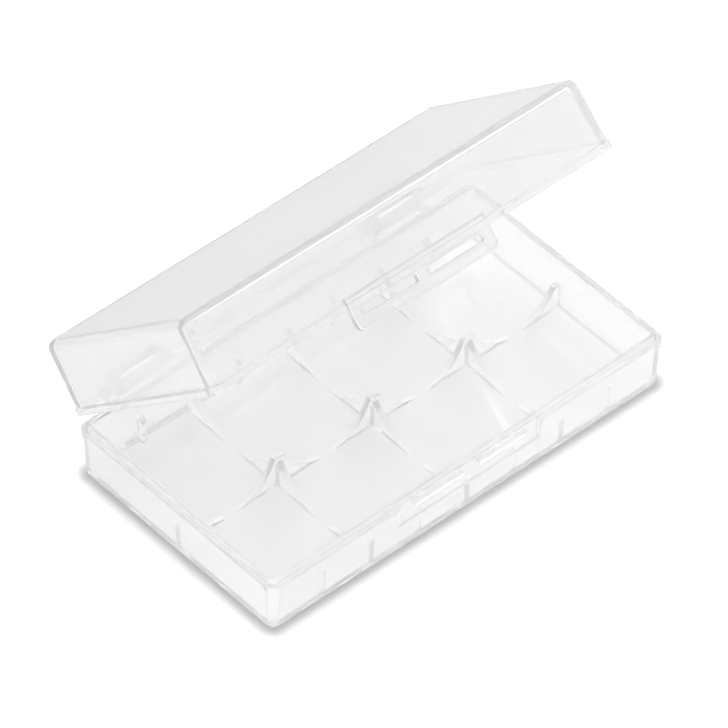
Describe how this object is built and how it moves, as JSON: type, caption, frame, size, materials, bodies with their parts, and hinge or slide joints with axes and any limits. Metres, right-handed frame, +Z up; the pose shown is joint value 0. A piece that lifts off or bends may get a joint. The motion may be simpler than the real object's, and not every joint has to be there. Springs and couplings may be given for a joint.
{
  "type": "battery storage case",
  "caption": "Clear hinged pocket case with a cradled tray for loose round cells and a deep snap-latched lid, shown part open",
  "frame": {"origin": "middle of the flat underside of the tray, where the case stands", "axes": "+X along the long side, -Y towards the latch side, +Y towards the hinge, +Z up; the lid is at rest 42.5 degrees open"},
  "size_m": [0.076, 0.0504, 0.0478],
  "materials": {
    "tray_plastic": "clear natural polypropylene, smooth outside, lightly frosted inside",
    "lid_plastic": "clear natural polypropylene, smooth outside, lightly frosted inside"
  },
  "bodies": {
    "tray": {"cell_tray": "tray_plastic"},
    "lid": {"latch_lid": "lid_plastic"}
  },
  "joints": [
    {"name": "lid_hinge", "type": "hinge", "parent": "tray", "child": "lid", "pos_m": [0, 0.0238, 0.0098], "axis": [-1, 0, 0], "range_deg": [-42.5, 107.5]}
  ]
}
